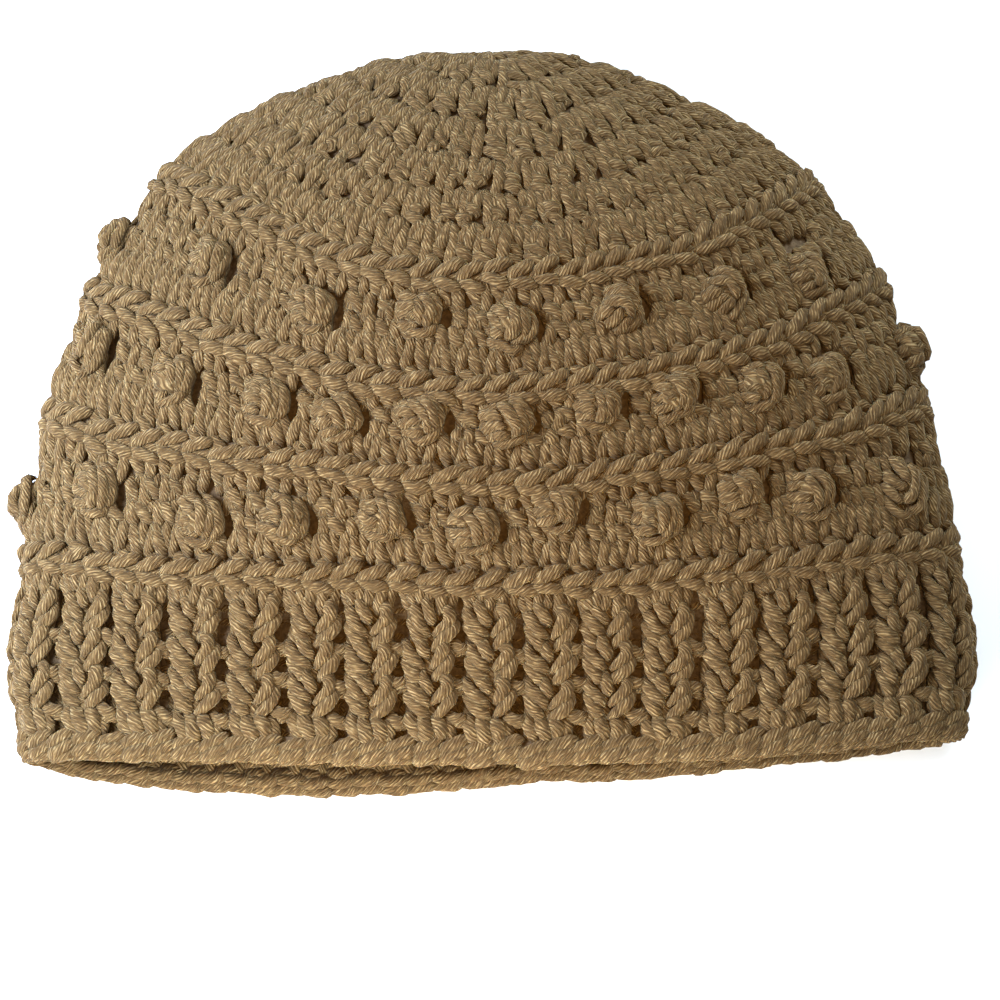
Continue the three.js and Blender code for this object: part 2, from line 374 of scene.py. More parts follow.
def turn_faces_outwards():
    """Ends the edit mode with every face pointing outwards."""
    bpy.ops.mesh.select_all(action="SELECT")
    bpy.ops.mesh.normals_make_consistent(inside=False)
    bpy.ops.object.mode_set(mode="OBJECT")


deselect_all()
bpy.ops.mesh.primitive_circle_add(
    vertices=strand_sides, radius=ring_sizes[0], fill_type="NGON"
)
strand = bpy.context.object
strand.name = "strand_pattern"
bpy.ops.object.mode_set(mode="EDIT")
bpy.ops.mesh.select_all(action="SELECT")
for ring in range(1, strand_rings):
    bpy.ops.mesh.extrude_region_move(TRANSFORM_OT_translate={"value": (0, 0, 1)})
    grow = ring_sizes[ring] / ring_sizes[ring - 1]
    bpy.ops.transform.resize(value=(grow, grow, 1))
turn_faces_outwards()
print("one strand:", len(strand.data.vertices), "points,", len(strand.data.polygons), "faces")

# %% [markdown]
# The finished strand is read as a pattern: for each of its points the ring, the angle and the
# size, and for each corner of a face how far round the strand it is. A face that crosses the
# seam gets numbers past 1, so that its plies run on without a jump.

# %% Read the strand as a pattern
pattern = strand.data
pattern_points = np.array([v.co for v in pattern.vertices])
pattern_ring = np.rint(pattern_points[:, 2]).astype(int)
pattern_angle = np.arctan2(pattern_points[:, 1], pattern_points[:, 0])
pattern_size = np.hypot(pattern_points[:, 0], pattern_points[:, 1])
pattern_corners = np.array([i for face in pattern.polygons for i in face.vertices])
pattern_starts = np.array([face.loop_start for face in pattern.polygons])
pattern_round = []
for face in pattern.polygons:
    share = [(pattern_angle[i] / (2 * math.pi)) % 1.0 for i in face.vertices]
    if len(share) == 4 and max(share) - min(share) > 0.5:
        share = [s + 1 if s < 0.5 else s for s in share]
    pattern_round.extend(share)
pattern_round = np.array(pattern_round)
print("corners of one strand:", len(pattern_corners))
bpy.data.objects.remove(strand)


# %% [markdown]
# A strand follows a path of a few given points. The path is smoothed, laid on the fabric,
# and given the strand's round section, a little wider than it is thick, because worked yarn is
# squeezed flat. The UV map keeps the millimetres along the yarn and the way round it, which is
# what the twist of the plies needs.

# %% Paths of the strands
luck = np.random.default_rng(11)


def smooth_path(points, count=strand_rings):
    """Catmull-Rom curve through (..., K, 3) points, sampled at equal steps of the parameter."""
    first = 2 * points[..., :1, :] - points[..., 1:2, :]
    last = 2 * points[..., -1:, :] - points[..., -2:-1, :]
    padded = np.concatenate([first, points, last], axis=-2)
    steps = points.shape[-2] - 1
    place = np.linspace(0, steps, count)
    segment = np.minimum(place.astype(int), steps - 1)
    t = (place - segment)[:, None]
    a, b, c, d = (padded[..., segment + k, :] for k in range(4))
    return 0.5 * (2 * b + (c - a) * t + (2 * a - 5 * b + 4 * c - d) * t ** 2
                  + (3 * b - a - 3 * c + d) * t ** 3)


class Basket:
    """Collects the paths of one piece: their points, the outward directions and the sizes."""

    def __init__(self):
        self.groups = []

    def add(self, path, up, width, depth):
        count = len(path)
        self.groups.append((path, up, np.full(count, width), np.full(count, depth)))

    def strands(self):
        return sum(len(group[0]) for group in self.groups)


print("points on a path:", len(smooth_path(np.eye(3))))

# %% [markdown]
# A basket of paths becomes one mesh. Each strand gets a little luck in its size and in every
# point of its surface, because spun yarn is never even, and its UV starts at a spot of its own
# on a very long yarn, so that no two strands show the same fibres.

# %% Bend copies of the strand along their paths
mm = 0.001
squeezed_wide = 1.08
squeezed_thin = 0.92
long_yarn = 4000


def yarn_mesh(name, basket):
    path, up, width, depth = (np.concatenate(part) for part in zip(*basket.groups))
    count = len(path)
    size = luck.uniform(0.94, 1.06, count)
    width = width * size * squeezed_wide
    depth = depth * size * squeezed_thin
    forward_way = unit(np.gradient(path, axis=1))
    side = unit(np.cross(up, forward_way))
    straight_up = np.cross(forward_way, side)
    rough = pattern_size * luck.uniform(0.89, 1.11, (count, len(pattern_size)))
    c = np.cos(pattern_angle) * rough * width[:, None]
    s = np.sin(pattern_angle) * rough * depth[:, None]
    points = (path[:, pattern_ring]
              + side[:, pattern_ring] * c[..., None]
              + straight_up[:, pattern_ring] * s[..., None])
    points = rest_on_floor(points) * mm
    steps = np.linalg.norm(np.diff(path, axis=1), axis=2)
    walked = np.concatenate([np.zeros((count, 1)), np.cumsum(steps, axis=1)], axis=1)
    walked += luck.uniform(0, long_yarn, (count, 1))
    corners = pattern_corners[None] + np.arange(count)[:, None] * len(pattern_points)
    starts = pattern_starts[None] + np.arange(count)[:, None] * len(pattern_corners)
    uv = np.stack([
        walked[:, pattern_ring[pattern_corners]],
        np.broadcast_to(pattern_round, (count, len(pattern_corners))),
    ], axis=2)
    mesh = bpy.data.meshes.new(name)
    mesh.vertices.add(count * len(pattern_points))
    mesh.vertices.foreach_set("co", points.astype(np.float32).ravel())
    mesh.loops.add(corners.size)
    mesh.loops.foreach_set("vertex_index", corners.astype(np.int32).ravel())
    mesh.polygons.add(starts.size)
    mesh.polygons.foreach_set("loop_start", starts.astype(np.int32).ravel())
    mesh.polygons.foreach_set("use_smooth", np.ones(starts.size, bool))
    layer = mesh.uv_layers.new(name="UVMap")
    layer.data.foreach_set("uv", uv.astype(np.float32).ravel())
    mesh.update(calc_edges=True)
    thing = bpy.data.objects.new(name, mesh)
    bpy.context.scene.collection.objects.link(thing)
    mesh.calc_loop_triangles()
    print(name, "has", count, "strands and", len(mesh.loop_triangles), "triangles")
    return thing


# %% [markdown]
# A stitch is drawn flat first: x to the right across one stitch, y down the hat, z out of the
# fabric, in millimetres. `work_row` copies it round the hat. Every copy is shifted and turned a
# little and the rows wander a little, because no two stitches of handwork are the same. Where
# the fabric has a pocket, the strands are bent round it, and the hole stays open between them.

# %% Work a row of stitches
stitch_width = 6.6
slow_waves = 5
quick_waves = 13
pocket_reach = 15
tilt_of_loose = 0.22
bend_of_loose = 0.6


def wander(turn, down):
    """How far a row strays up or down the hat, in millimetres, in two waves round the hat."""
    slow = 0.5 * np.sin(2 * np.pi * slow_waves * turn + 0.05 * down)
    quick = 0.35 * np.sin(2 * np.pi * quick_waves * turn + 0.11 * down + 1)
    return (slow + quick) * np.clip(down / 40, 0, 1) * np.clip((rim_down - down) / 30, 0, 1)


def beside_pockets(turn, down, pockets):
    """Strands bent aside, so that each pocket stays an open hole. A strand keeps to its side."""
    for pocket_turn, pocket_down, half_width, half_height in pockets:
        around = length_round[int(pocket_down)]
        aside = ((turn - pocket_turn + 0.5) % 1.0 - 0.5) * around
        fall = (down - pocket_down) / half_height
        side = np.where(aside.mean(axis=1, keepdims=True) < 0, -1, 1)
        clear = half_width * np.sqrt(np.clip(1 - fall ** 2, 0, 1))
        missing = np.clip(clear - aside * side, 0, None)
        missing = np.where(np.abs(aside) < pocket_reach, missing, 0)
        turn = turn + side * missing * np.clip(1 - fall ** 4, 0, 1) / around
    return turn


def work_row(basket, stitch, turns, count, row_from, row_to, height, loose=0.25, inside=False,
             pockets=()):
    """Copies a stitch to the given turns of a round of `count` stitches. The stitch is drawn
    `height` high, and `loose` is how many millimetres its points stray."""
    turns = np.asarray(turns, float)
    scale = (row_to - row_from) / height
    shift = luck.normal(0, loose, (len(turns), 1, 3))
    shift[..., 2] *= 0.5
    tilt = luck.normal(0, tilt_of_loose * loose, (len(turns), 1))
    for width, depth, points in stitch:
        bend = luck.normal(0, loose * bend_of_loose, (len(turns), len(points), 3))
        flat = np.array(points, float)[None] + shift + bend * (1, 1, 0.5)
        across = flat[..., 0] - tilt * (flat[..., 1] - height / 2)
        below = flat[..., 1] + tilt * flat[..., 0]
        curve = smooth_path(np.stack([across, below, flat[..., 2]], axis=-1))
        turn = turns[:, None] - curve[..., 0] / (stitch_width * count)
        down = row_from + curve[..., 1] * scale
        down = down + wander(turn, down)
        turn = beside_pockets(turn, down, pockets)
        lift = curve[..., 2]
        path, up = lifted(turn, down, -wall - lift if inside else lift)
        basket.add(path, -up if inside else up, width, depth)


def even_turns(count, phase):
    """Turns of `count` stitches spaced evenly round the hat, moved on by a part of a stitch."""
    return (np.arange(count) + phase) / count


def small_holes(turns, down, aside, half_width, half_height):
    """The small holes at the feet of a row of stitches, a little uneven in place and size."""
    around = length_round[int(down)]
    holes = []
    for turn in turns:
        size = luck.uniform(0.65, 1.15)
        place = turn - (aside + luck.normal(0, 0.3)) / around
        holes.append((place, down + luck.normal(0, 0.4), half_width * size, half_height * size))
    return holes


print("stitches round the rim:", round(float(length_round[rim_down]) / stitch_width))


# %% [markdown]
# The crown is worked in rounds that grow by nine stitches each. A stitch there shows a short fan
# that comes out of the hole above it, two slanting bars on its left and an upright leg on its
# right. The first round closes on a small knot of loops, and each later one has a row of small
# holes at its feet.

# %% The crown
crown_stitch = [
    (1.50, 1.25, [(0.2, -2.4, -1.1), (-0.7, 0.8, 0.1), (-1.8, 3.8, -0.1), (-2.8, 6.6, -1.2)]),
    (1.40, 1.25, [(1.2, -2.2, -1.2), (1.1, 1.2, 0.2), (0.6, 4.2, 0.2), (-0.2, 7.0, -1.0)]),
    (1.60, 1.25, [(-4.1, 3.0, -1.4), (-2.5, 4.6, -0.1), (-0.6, 6.4, 0.3), (1.4, 8.8, -0.9)]),
    (1.60, 1.25, [(-4.3, 6.4, -1.5), (-2.7, 7.9, -0.1), (-0.8, 9.4, 0.0), (0.8, 12.0, -1.2)]),
    (1.55, 1.25, [(1.9, -2.0, -1.2), (2.9, 1.8, 0.1), (3.2, 6.2, 0.2), (2.6, 12.2, -1.1)]),
]
knot_loop = [
    (1.6, 1.3, [(-3.0, 0.4, -1.0), (-1.2, -0.8, 0.2), (1.2, -0.8, 0.2), (3.0, 0.4, -1.0)]),
]
crown_rows = [2.4, 11.5, 23.5, 36.0, 47.5, 57.7, 67.4, 78.4]
crown_growth = 9


def crown_turns(k):
    """Where the stitches of crown round k stand. Every other round is half a stitch on."""
    return even_turns(crown_growth * (k + 1), 0.5 * (k % 2) + 0.13 * k)


crown = Basket()
work_row(crown, knot_loop, even_turns(5, 0.1), 5, row_from=2.2, row_to=11.2, height=11.0,
         loose=0.1)
crown_holes = [[]]
for k in range(1, 7):
    crown_holes.append(small_holes(
        crown_turns(k), crown_rows[k] - 1.4, aside=0.4, half_width=1.45, half_height=2.1))
crown_holes.append([])
for k in range(7):
    work_row(crown, crown_stitch, crown_turns(k), crown_growth * (k + 1),
             crown_rows[k], crown_rows[k + 1], height=11.0, loose=0.42,
             pockets=crown_holes[k] + crown_holes[k + 1])
print("crown strands:", crown.strands())

# %% [markdown]
# A ridge is a chain of loops that lies on the fabric like a braid. Each loop has an upper arm
# and a lower arm, and both start under the loop on its left. A post behind them and a strand
# along the middle fill the gaps.

# %% The ridges
ridge_stitch = [
    (1.65, 1.40, [(-5.4, 4.3, -0.9), (-2.7, 3.1, 0.7), (0.5, 1.6, 1.1), (3.8, 0.5, 0.1)]),
    (1.60, 1.40, [(-5.4, 4.0, -0.9), (-2.5, 4.9, 0.6), (0.8, 5.8, 0.8), (3.9, 6.6, -0.3)]),
    (1.90, 1.20, [(-3.3, 0.2, -1.0), (-3.3, 2.4, -0.3), (-3.3, 5.0, -0.3), (-3.3, 7.2, -1.1)]),
    (1.50, 1.20, [(-4.6, 3.8, -0.2), (-1.6, 3.7, -0.1), (1.4, 3.7, -0.1), (4.4, 3.8, -0.2)]),
]
ridge_rows = {
    "ridge_round_1": (76.4, 83.6, 70, 0.20),
    "ridge_round_2": (103.8, 110.2, 72, 0.65),
    "ridge_round_3": (125.9, 132.1, 72, 0.40),
    "ridge_round_4": (150.9, 157.1, 72, 0.85),
}
ridges = {}
for name, (start, end, count, phase) in ridge_rows.items():
    ridges[name] = Basket()
    work_row(ridges[name], ridge_stitch, even_turns(count, phase), count, start, end,
             height=6.6, loose=0.28)
    print(name, "has", ridges[name].strands(), "strands")

# %% [markdown]
# A bobble is a nest of nine short loops. One fat loop is its core, two lie round its right side
# and under it, two go over its top, and four slanting ones join it to the fabric on its left and
# above it. A bobble under the hat is pressed flat. One at a fold stands out more than the others
# and follows the bend of the fabric less.

# %% The bobbles
bobble_loops = [
    (3.8, 2.8, [(-0.4, -3.6, -1.6), (-0.2, -1.2, 0.6), (-0.2, 1.2, 0.6), (-0.4, 3.6, -1.6)]),
    (1.60, 1.40, [(0.4, -5.0, -0.4), (3.2, -4.0, 1.1), (5.0, -1.4, 1.6), (4.8, 1.8, 1.3),
                  (3.0, 4.2, 0.5)]),
    (1.60, 1.40, [(4.4, 2.4, 0.5), (2.8, 4.5, 1.0), (0.4, 5.2, 0.9), (-2.4, 4.9, 0.2),
                  (-4.6, 4.0, -1.1)]),
    (1.60, 1.40, [(0.4, -4.4, 1.4), (2.8, -2.8, 2.7), (3.5, -0.2, 3.0), (3.2, 2.4, 2.4),
                  (1.8, 4.2, 1.3)]),
    (1.60, 1.40, [(-1.6, -4.0, 1.4), (0.2, -2.6, 3.0), (1.4, -0.4, 3.7), (1.2, 2.0, 3.2),
                  (0.0, 3.8, 1.8)]),
    (1.60, 1.35, [(-5.6, -3.2, -1.4), (-4.0, -2.8, 0.6), (-2.4, -2.0, 2.2), (-0.6, -0.8, 3.3)]),
    (1.60, 1.35, [(-6.0, -0.4, -1.4), (-4.4, 0.2, 0.6), (-2.6, 0.6, 2.2), (-0.2, 1.2, 3.5)]),
    (1.55, 1.35, [(-5.6, 2.4, -1.4), (-3.8, 2.7, 0.4), (-2.0, 2.8, 1.9), (0.2, 2.9, 2.8)]),
    (1.50, 1.35, [(-3.6, -5.0, -0.8), (-2.6, -4.2, 0.7), (-1.2, -3.8, 1.5), (0.6, -3.8, 1.8)]),
]


small_turn = 0.004
flattest = 0.12
bobble_shift = 1.0
bobble_sink = 0.7


def add_bobble(basket, turn, down, proud, wrap):
    """One nest of loops, turned and sized by luck. `proud` stretches it outwards, and `wrap` is
    how far it follows the bend of the fabric, from 0 to 1."""
    spot = np.array([turn])
    base, normal = on_fabric(spot, np.array([down]))
    flat = max(flattest, float(free_share(base[0, 2])))
    right, _ = on_fabric(spot - small_turn, np.array([down]))
    right = unit(right - base)[0]
    out = normal[0]
    below = np.cross(out, right) * -1
    centre = base[0] - right * bobble_shift - out * bobble_sink
    around = length_round[int(down)]
    spin = math.radians(luck.normal(0, 16))
    grow = luck.uniform(0.92, 1.08)
    for number, (width, depth, points) in enumerate(bobble_loops):
        plump = proud if number == 0 and proud > 1 else 1
        local = np.array(points, float) + luck.normal(0, 0.35, (len(points), 3))
        local *= grow
        x = local[:, 0] * math.cos(spin) - local[:, 1] * math.sin(spin)
        y = local[:, 0] * math.sin(spin) + local[:, 1] * math.cos(spin)
        z = local[:, 2] * proud - 0.2
        straight = centre + x[:, None] * right + y[:, None] * below + (z * flat)[:, None] * out
        wrapped, _ = lifted(turn - (x - bobble_shift) / around, down + y, z)
        curve = smooth_path((straight + wrap * (wrapped - straight))[None])
        away = unit(curve - (centre - out * 2 * flat))
        basket.add(curve, away, width * plump, depth * plump * max(flat, 0.4))


print("loops of a bobble:", len(bobble_loops))

# %% [markdown]
# Each band has its bobbles, small blocks of plain stitches above, between and below them, and
# then a row whose stitches draw together downwards like a V, with small holes between them. To
# the right of each bobble the fabric is drawn in and leaves a dark pocket. The front bobbles
# stand where they do on the real hat, and those of the back are spaced evenly.

# %% The bands
upper_blocks = [
    (1.60, 1.20, [(-3.8, -1.4, -1.5), (-2.4, 0.2, -0.3), (-1.0, 1.6, -0.3), (0.4, 3.4, -1.3)]),
    (1.55, 1.20, [(1.8, -2.0, -1.5), (2.1, 0.2, -0.2), (1.9, 2.4, -0.3), (1.4, 4.6, -1.5)]),
    (1.70, 1.20, [(-0.4, -1.6, -1.8), (-0.2, 0.4, -1.2), (-0.2, 2.4, -1.2), (-0.4, 4.4, -1.8)]),
]
middle_blocks = [
    (1.60, 1.20, [(-3.5, 2.8, -1.4), (-2.2, 3.9, -0.1), (-0.7, 5.0, 0.0), (0.6, 6.6, -1.2)]),
    (1.55, 1.20, [(1.6, 2.2, -1.4), (2.3, 3.8, -0.1), (2.3, 5.8, -0.1), (1.6, 8.0, -1.4)]),
    (1.50, 1.15, [(-3.2, 6.6, -1.4), (-1.9, 5.4, -0.4), (-0.7, 4.0, -0.5), (0.4, 2.6, -1.4)]),
    (1.80, 1.10, [(-3.3, 2.0, -2.2), (-3.3, 4.0, -1.8), (-3.3, 6.0, -1.8), (-3.3, 8.0, -2.2)]),
]
lower_blocks = [
    (1.60, 1.20, [(-4.0, 6.4, -1.5), (-2.6, 7.3, -0.2), (-1.0, 8.4, -0.2), (0.5, 10.0, -1.3)]),
    (1.55, 1.20, [(1.5, 6.0, -1.5), (2.1, 7.4, -0.2), (2.3, 9.0, -0.2), (1.8, 10.8, -1.4)]),
    (1.50, 1.15, [(-0.4, 5.6, -1.7), (-0.2, 7.0, -0.9), (-0.2, 8.6, -0.9), (-0.6, 10.2, -1.7)]),
]
vee_stitch = [
    (1.60, 1.25, [(-3.2, -1.2, -1.4), (-2.8, 1.6, -0.1), (-2.0, 4.4, 0.1), (-0.9, 7.4, -1.3)]),
    (1.45, 1.20, [(-0.5, -1.4, -1.5), (-0.6, 1.2, -0.3), (-0.4, 3.6, -0.3), (0.1, 6.0, -1.6)]),
    (1.55, 1.20, [(2.6, -1.2, -1.5), (2.2, 1.8, -0.1), (1.6, 4.4, -0.1), (0.9, 7.2, -1.4)]),
    (1.50, 1.15, [(1.0, 5.4, -1.5), (2.5, 6.4, -0.3), (4.0, 7.3, -0.3), (5.3, 8.6, -1.3)]),
    (1.60, 1.10, [(3.3, 0.4, -1.9), (3.3, 2.8, -1.5), (3.3, 5.2, -1.5), (3.3, 7.4, -1.8)]),
]
bobble_bands = {
    "bobble_band_1": dict(
        start=83.0, vee=96.0, end=104.8, row=93.0, total=18,
        turns=[0.499, 0.4175, 0.3475, 0.2875, 0.2375, 0.1775, 0.115, 0.0575],
        rows=[96, 92, 94, 90, 92, 91, 94, 98]),
    "bobble_band_2": dict(
        start=109.8, vee=119.3, end=127.0, row=117.0, total=24,
        turns=[0.47, 0.415, 0.3625, 0.325, 0.2825, 0.24, 0.195, 0.155, 0.108, 0.0675, 0.004],
        rows=[116, 117, 116, 117, 115, 115, 113, 113, 116, 119, 120]),
    "bobble_band_3": dict(
        start=131.7, vee=144.0, end=152.0, row=140.5, total=24,
        turns=[0.499, 0.446, 0.39, 0.3475, 0.3, 0.256, 0.216, 0.1675, 0.125, 0.0885, 0.036],
        rows=[143.5, 140, 143, 141, 139, 141, 136, 140, 137, 140, 143]),
}
band_stitches = 72
bobble_left = 4.2
bobble_right = 7.2
pocket_right = 6.2
pocket_drop = 0.6
pocket_size = (2.9, 4.6)


def bobbles_of(band):
    """The turns and rows of all bobbles of a band, those of the back spaced evenly."""
    turns = list(band["turns"])
    rows = list(band["rows"])
    behind = band["total"] - len(turns)
    gap = (1 - (turns[0] - turns[-1])) / (behind + 1)
    for i in range(behind):
        turns.append(band["turns"][-1] - gap * (i + 1))
        rows.append(band["row"])
    return turns, rows


def pockets_of(band):
    """Where the fabric is drawn in, to the right of each bobble."""
    turns, rows = bobbles_of(band)
    around = length_round[int(band["row"])]
    return [(turn - pocket_right / around, row + pocket_drop, *pocket_size)
            for turn, row in zip(turns, rows)]


print("bobbles:", sum(band["total"] for band in bobble_bands.values()))

# %% [markdown]
# The blocks between two bobbles share the room that is left there. Of the evenly spaced bobbles
# of the back, those right at a fold are left out.

# %% Work the bands
near_fold = 0.035
on_fold = 0.02
fold_bobble = (1.2, 0.4)
other_bobble = (0.8, 0.6)
bands = {}
for name, band in bobble_bands.items():
    basket = Basket()
    bands[name] = basket
    around = length_round[int(band["row"])]
    turns, rows = bobbles_of(band)
    between_turns = []
    for here, there in zip(turns, turns[1:] + [turns[0] - 1]):
        free = (here - there) * around - bobble_left - bobble_right
        count = max(1, round(free / stitch_width))
        places = bobble_right + free * (np.arange(count) + 0.5) / count
        between_turns.extend(here - places / around)
    for turn, row in zip(turns, rows):
        from_fold = abs((turn + 0.25) % 0.5 - 0.25)
        if from_fold > near_fold or turn in band["turns"]:
            proud, wrap = fold_bobble if from_fold < on_fold else other_bobble
            add_bobble(basket, turn, row, proud, wrap)
    tiers = ((upper_blocks, even_turns(band_stitches, 0.5)), (middle_blocks, between_turns),
             (lower_blocks, even_turns(band_stitches, 0.1)))
    for blocks, places in tiers:
        work_row(basket, blocks, places, band_stitches, band["start"], band["vee"] + 0.6,
                 height=9.6, pockets=pockets_of(band))
    vee_turns = even_turns(band_stitches, 0.3)
    between_vees = small_holes(
        vee_turns, band["vee"] + 4.4, aside=3.3, half_width=0.9, half_height=2.0)
    work_row(basket, vee_stitch, vee_turns, band_stitches, band["vee"], band["end"],
             height=7.6, pockets=pockets_of(band) + between_vees)
    print(name, "has", basket.strands(), "strands")

# %% [markdown]
# The ribs of the brim are columns of stacked chevrons. Three strands come down the left of a
# chevron, and on its right two curl out and back to the point below. Each column starts with a
# fan of strands under the ridge, has deep posts behind it and ends in a foot on the edge.
# Between the columns are deep holes with two small bars across each.

# %% The brim
chevron = [
    (1.65, 1.40, [(-5.4, -2.8, -1.0), (-4.3, 0.0, 0.7), (-2.5, 2.6, 1.3), (-0.2, 5.2, 0.6)]),
    (1.65, 1.40, [(-5.2, 0.8, -0.8), (-4.3, 3.0, 0.6), (-2.7, 5.6, 1.1), (-0.4, 8.2, 0.3)]),
    (1.55, 1.40, [(-2.4, -4.4, 0.2), (-1.4, -2.0, 1.1), (-0.5, 0.2, 1.2), (0.4, 2.4, 0.2)]),
    (1.65, 1.40, [(2.2, -3.2, 0.2), (4.2, -1.6, 1.0), (4.0, 1.2, 1.5), (0.6, 4.8, 0.8)]),
    (1.65, 1.40, [(4.0, -0.4, -0.2), (5.6, 1.8, 0.6), (4.4, 4.6, 1.3), (0.6, 8.2, 0.5)]),
]
foot_of_rib = [
    (1.85, 1.35, [(-4.9, -2.2, -0.8), (-4.2, 0.4, 0.3), (-3.2, 2.8, 0.2), (-2.0, 5.4, -0.9)]),
    (1.85, 1.35, [(-2.2, -2.0, -0.2), (-1.4, 0.6, 0.8), (-0.5, 3.0, 0.6), (0.3, 5.6, -0.7)]),
    (1.85, 1.35, [(0.8, -1.6, 0.0), (2.4, 0.4, 0.8), (2.9, 2.8, 0.4), (2.8, 5.4, -0.8)]),
    (1.70, 1.30, [(3.6, -1.6, -0.8), (4.8, 0.6, -0.2), (5.0, 2.8, -0.4), (4.8, 5.2, -1.0)]),
]
deep_posts = [
    (2.60, 1.40, [(0.0, -1.5, -1.2), (0.0, 2.0, -0.8), (0.0, 6.0, -0.8), (0.0, 10.0, -1.2)]),
    (1.90, 1.30, [(-3.6, -1.0, -1.9), (-3.8, 2.0, -1.7), (-3.8, 6.0, -1.7), (-3.6, 10.0, -1.9)]),
    (1.90, 1.30, [(3.6, -1.0, -1.9), (3.8, 2.0, -1.7), (3.8, 6.0, -1.7), (3.6, 10.0, -1.9)]),
]
bar_stitch = [
    (1.60, 1.35, [(3.6, 6.4, -0.6), (5.6, 8.0, 0.2), (7.6, 8.6, 0.2), (10.0, 8.4, -0.8)]),
    (1.40, 1.30, [(4.6, 9.6, -1.4), (6.2, 9.6, -0.6), (8.2, 9.4, -0.4), (10.2, 10.4, -1.0)]),
]
fan_stitch = [
    (1.50, 1.25, [(-6.8, -1.6, -1.2), (-6.0, 0.6, -0.3), (-5.1, 2.6, 0.0), (-4.2, 4.4, -0.5)]),
    (1.50, 1.25, [(-4.9, -2.6, -1.2), (-4.6, -0.4, 0.1), (-4.1, 1.6, 0.5), (-3.6, 3.2, -0.2)]),
    (1.50, 1.25, [(-2.2, -2.6, -1.2), (-2.2, -0.6, 0.3), (-2.3, 1.2, 0.7), (-2.5, 2.9, -0.1)]),
    (1.50, 1.25, [(0.5, -2.6, -1.2), (0.2, -0.6, 0.4), (-0.4, 1.6, 0.9), (-1.3, 3.6, 0.4)]),
    (1.60, 1.30, [(3.0, -2.6, -1.2), (2.9, -0.4, 0.3), (2.7, 2.2, 0.9), (2.0, 5.4, 0.5)]),
    (1.60, 1.30, [(5.4, -2.6, -1.3), (5.4, -0.4, -0.2), (5.1, 2.0, 0.1), (4.2, 4.8, -0.4)]),
]
print("strands of a chevron:", len(chevron), "and of a fan:", len(fan_stitch))

# %% Work the brim
brim = Basket()
ribs = 35
half_rib = 7.26
row_height = 8.8
rib_turns = front_turn + np.arange(ribs) / ribs
brim_count = 2 * ribs * half_rib / stitch_width
brim_rows = [162.4, 171.0, 179.6, 188.2]
for k in range(3):
    for stitch in (chevron, bar_stitch):
        work_row(brim, stitch, rib_turns, brim_count, brim_rows[k], brim_rows[k + 1],
                 row_height, 0.35)
for start in (156.8, 165.6, 174.4, 183.2):
    work_row(brim, deep_posts, rib_turns, brim_count, start, start + row_height, row_height)
work_row(brim, fan_stitch, rib_turns, brim_count, 157.6, 163.2, height=5.6, loose=0.25)
work_row(brim, foot_of_rib, rib_turns, brim_count, 188.2, 193.2, height=5.0, loose=0.3)
print("brim strands:", brim.strands())

# %% [markdown]
# The last round turns the rim over: small loops that slant across the edge and go in to the
# inner side. Inside the brim the rows show as plain sideways loops.

# %% The edge
edge_stitch = [
    (1.65, 1.15, [(-4.8, 3.4, -0.9), (-1.8, 2.0, 0.0), (1.4, 0.8, 0.1), (4.2, 0.2, -0.8)]),
    (1.65, 1.15, [(-4.8, 5.2, -1.6), (-1.8, 4.2, -0.4), (1.4, 3.2, -0.3), (4.2, 2.4, -1.0)]),
    (1.65, 1.15, [(-4.8, 5.6, -3.0), (-1.8, 5.1, -1.6), (1.6, 4.8, -1.4), (4.4, 4.4, -2.2)]),
    (1.65, 1.15, [(-4.8, 4.6, -4.2), (-1.8, 5.0, -3.1), (1.6, 5.0, -2.9), (4.4, 4.6, -3.7)]),
    (1.65, 1.15, [(-4.8, 2.6, -4.7), (-1.8, 3.4, -4.3), (1.6, 3.4, -4.2), (4.4, 2.8, -4.6)]),
]
inner_stitch = [
    (1.70, 0.80, [(-4.6, 2.6, -0.9), (-1.8, 1.4, -0.3), (1.0, 1.0, -0.3), (3.8, 1.8, -0.9)]),
    (1.70, 0.80, [(-4.2, 5.6, -1.0), (-1.4, 4.2, -0.3), (1.4, 4.2, -0.3), (3.8, 5.2, -1.0)]),
    (1.70, 0.80, [(-3.8, 8.2, -1.0), (-1.0, 7.0, -0.3), (1.4, 7.2, -0.3), (4.0, 8.4, -1.0)]),
    (1.60, 0.80, [(-2.6, 0.6, -1.0), (-2.4, 3.4, -0.4), (-2.2, 6.0, -0.4), (-2.0, 8.8, -1.0)]),
]
edge = Basket()
edge_stitches = 76
lining_stitches = 70
lining_step = 8.6
work_row(edge, edge_stitch, even_turns(edge_stitches, 0.2), edge_stitches, 192.4, 197.0,
         height=4.6, loose=0.22)
work_row(edge, inner_stitch, even_turns(lining_stitches, 0.2), lining_stitches, 188.0, 196.0,
         row_height, loose=0.2, inside=True)
brim_lining = Basket()
for start in (161.4, 170.2, 179.0):
    work_row(brim_lining, inner_stitch, even_turns(lining_stitches, 0.034 * start),
             lining_stitches, start, start + lining_step, row_height, loose=0.2, inside=True)
print("edge strands:", edge.strands())

# %% [markdown]
# Under the strands lies the body of the fabric, which closes the small gaps between them. A
# torus is already a closed ring, so each band's body starts as one. Its section is squared, and
# its points are laid on the fabric. Where a bobble has its pocket, the body is drawn in as well.

# %% The body of a band
ring_tube = 0.3
squareness = 0.4
pocket_half = 2.4
pocket_tall = 4.0
pocket_depth = 0.7


def squared(share):
    """Round numbers from -1 to 1 pushed towards their ends, which squares a section."""
    return np.sign(share) * np.abs(share) ** squareness


def new_body(name):
    """The newest object, named, with its points and how far round the hat each one is."""
    thing = bpy.context.object
    thing.name = name
    co = np.array([v.co for v in thing.data.vertices])
    return thing, co, np.arctan2(co[:, 1], co[:, 0]) / (2 * np.pi)


